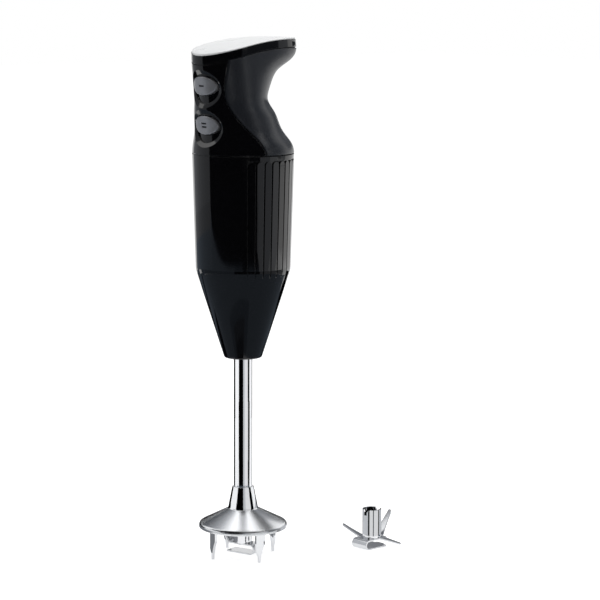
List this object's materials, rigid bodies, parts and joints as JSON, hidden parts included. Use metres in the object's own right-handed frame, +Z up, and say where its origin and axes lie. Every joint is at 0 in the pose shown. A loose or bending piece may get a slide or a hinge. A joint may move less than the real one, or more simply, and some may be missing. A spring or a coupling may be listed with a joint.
{
  "type": "immersion blender",
  "caption": "Upright stick blender with a ribbed motor handle, hooked grip, speed buttons, steel shaft, pronged blade guard, a fitted blade and a loose cutting blade beside it.",
  "frame": {"origin": "on the shaft axis, at the table level on which the prong tips stand", "axes": "+Z up along the shaft to the grip, +X towards the end of the hook, -X the side of the buttons"},
  "size_m": [0.1342, 0.0891, 0.3381],
  "materials": {
    "gloss_black_plastic": "gloss",
    "pale_grey_plastic": "satin",
    "grey_button_plastic": "satin",
    "polished_steel": "polished",
    "satin_steel": "satin",
    "bearing_steel": "ground",
    "lamination_steel": "laminated",
    "copper_winding": "enamelled",
    "brass": "drawn",
    "sintered_bronze": "sintered",
    "carbon": "matte",
    "cast_aluminium": "cast",
    "black_rubber": "matte",
    "natural_nylon": "matte",
    "black_phenolic": "matte",
    "board_laminate": "matte",
    "capacitor_case": "satin"
  },
  "bodies": {
    "housing": {"brush_frame": "natural_nylon", "brush_holder_front": "brass", "brush_holder_rear": "brass", "brush_spring_front": "bearing_steel", "brush_spring_rear": "bearing_steel", "circuit_board": "board_laminate", "clamp_screws": "bearing_steel", "cord_clamp": "natural_nylon", "cord_gland": "black_rubber", "field_coil_front": "copper_winding", "field_coil_rear": "copper_winding", "guard": "satin_steel", "handle_screws": "bearing_steel", "handle_shell": "gloss_black_plastic", "high_speed_switch": "black_phenolic", "low_speed_switch": "black_phenolic", "lower_bearing_balls": "bearing_steel", "lower_bearing_outer": "bearing_steel", "lower_bracket": "cast_aluminium", "lower_bush": "sintered_bronze", "motor_bridge": "cast_aluminium", "motor_housing": "gloss_black_plastic", "motor_screws": "bearing_steel", "nose_seal": "black_rubber", "panel_screws": "bearing_steel", "shaft_seal": "black_rubber", "shaft_tube": "polished_steel", "speed_diode": "black_phenolic", "stator_core": "lamination_steel", "suppression_capacitor": "capacitor_case", "switch_carrier": "natural_nylon", "switch_panel": "gloss_black_plastic", "top_cap": "gloss_black_plastic", "top_inlay": "pale_grey_plastic", "tube_lock_ring": "bearing_steel", "upper_bearing_balls": "bearing_steel", "upper_bearing_outer": "bearing_steel", "upper_bush": "sintered_bronze"},
    "rotor": {"motor_shaft": "bearing_steel", "armature_core": "lamination_steel", "armature_windings": "copper_winding", "commutator": "copper_winding", "fan": "natural_nylon", "coupling": "black_rubber", "drive_spindle": "polished_steel", "drive_pin": "polished_steel", "tool_clip": "bearing_steel", "upper_bearing_inner": "bearing_steel", "lower_bearing_inner": "bearing_steel"},
    "fitted_blade": {"blade_hub": "polished_steel", "whipping_blade": "polished_steel"},
    "low_button": {"low_speed_button": "grey_button_plastic"},
    "high_button": {"high_speed_button": "grey_button_plastic"},
    "low_plunger": {"low_speed_plunger": "natural_nylon"},
    "high_plunger": {"high_speed_plunger": "natural_nylon"},
    "rear_brush": {"carbon_brush_rear": "carbon"},
    "front_brush": {"carbon_brush_front": "carbon"},
    "spare_blade": {"spare_hub": "polished_steel", "cutting_blade": "polished_steel"}
  },
  "joints": [
    {"name": "rotor_spin", "type": "hinge", "parent": "housing", "child": "rotor", "pos_m": [0, 0, 0.2], "axis": [0, 0, 1], "continuous": true},
    {"name": "fitted_blade_pull", "type": "slide", "parent": "rotor", "child": "fitted_blade", "axis": [0, 0, -1], "range_m": [0, 0.024]},
    {"name": "low_button_press", "type": "slide", "parent": "housing", "child": "low_button", "axis": [1, 0, 0], "range_m": [0, 0.002], "stiffness_N_per_m": 600},
    {"name": "high_button_press", "type": "slide", "parent": "housing", "child": "high_button", "axis": [1, 0, 0], "range_m": [0, 0.002], "stiffness_N_per_m": 600},
    {"name": "low_plunger_press", "type": "slide", "parent": "housing", "child": "low_plunger", "axis": [1, 0, 0], "range_m": [0, 0.002]},
    {"name": "high_plunger_press", "type": "slide", "parent": "housing", "child": "high_plunger", "axis": [1, 0, 0], "range_m": [0, 0.002]},
    {"name": "rear_brush_slide", "type": "slide", "parent": "housing", "child": "rear_brush", "axis": [1, 0, 0], "range_m": [0, 0.004], "stiffness_N_per_m": 150, "deforming": ["brush_spring_rear"]},
    {"name": "front_brush_slide", "type": "slide", "parent": "housing", "child": "front_brush", "axis": [-1, 0, 0], "range_m": [0, 0.004], "stiffness_N_per_m": 150, "deforming": ["brush_spring_front"]},
    {"name": "spare_blade_lift", "type": "slide", "parent": "housing", "child": "spare_blade", "axis": [0, 0, 1], "range_m": [0, 0.06]}
  ],
  "couplings": [
    {"joint": "low_plunger_press", "follows": "low_button_press", "ratio": 1},
    {"joint": "high_plunger_press", "follows": "high_button_press", "ratio": 1}
  ]
}
